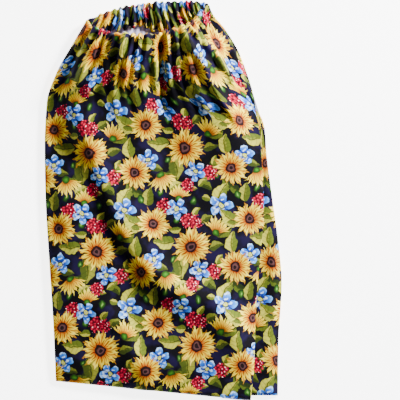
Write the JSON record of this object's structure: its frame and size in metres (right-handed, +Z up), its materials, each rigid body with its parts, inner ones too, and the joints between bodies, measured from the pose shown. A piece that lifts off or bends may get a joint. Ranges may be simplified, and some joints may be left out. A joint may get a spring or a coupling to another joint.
{
  "type": "garden tool bag",
  "caption": "Printed cotton bag with an elastic-gathered mouth, lying flat, with one side gusset folded in; the front of the mouth lifts open.",
  "frame": {"origin": "middle of the bag's footprint, on the surface it lies on", "axes": "+Y runs from the base to the mouth, +X to the side with the folded gusset, +Z up out of the front panel"},
  "size_m": [0.2449, 0.4099, 0.0431],
  "materials": {
    "print": "printed plain-weave cotton, right side",
    "print_wrong_side": "unprinted wrong side of the same cotton",
    "elastic": "woven elastic tape",
    "thread": "navy sewing thread"
  },
  "bodies": {
    "bag": {"back_panel": "print", "front_panel": "print", "right_gusset": "print", "right_gusset_tuck": "print", "left_side_seam": "print_wrong_side", "right_front_seam": "print_wrong_side", "right_back_seam": "print_wrong_side", "base_seam": "print_wrong_side", "back_casing": "print", "elastic_back": "elastic", "elastic_join": "elastic", "back_casing_facing": "print", "casing_stitching_back": "thread"},
    "mouth_front": {"gathered_front_panel": "print", "front_casing": "print", "elastic_front": "elastic", "front_casing_facing": "print", "casing_stitching_front": "thread"}
  },
  "joints": [
    {"name": "mouth_lift", "type": "hinge", "parent": "bag", "child": "mouth_front", "pos_m": [0, 0.045, 0.0142], "axis": [1, 0, 0], "range_deg": [0, 35]}
  ]
}
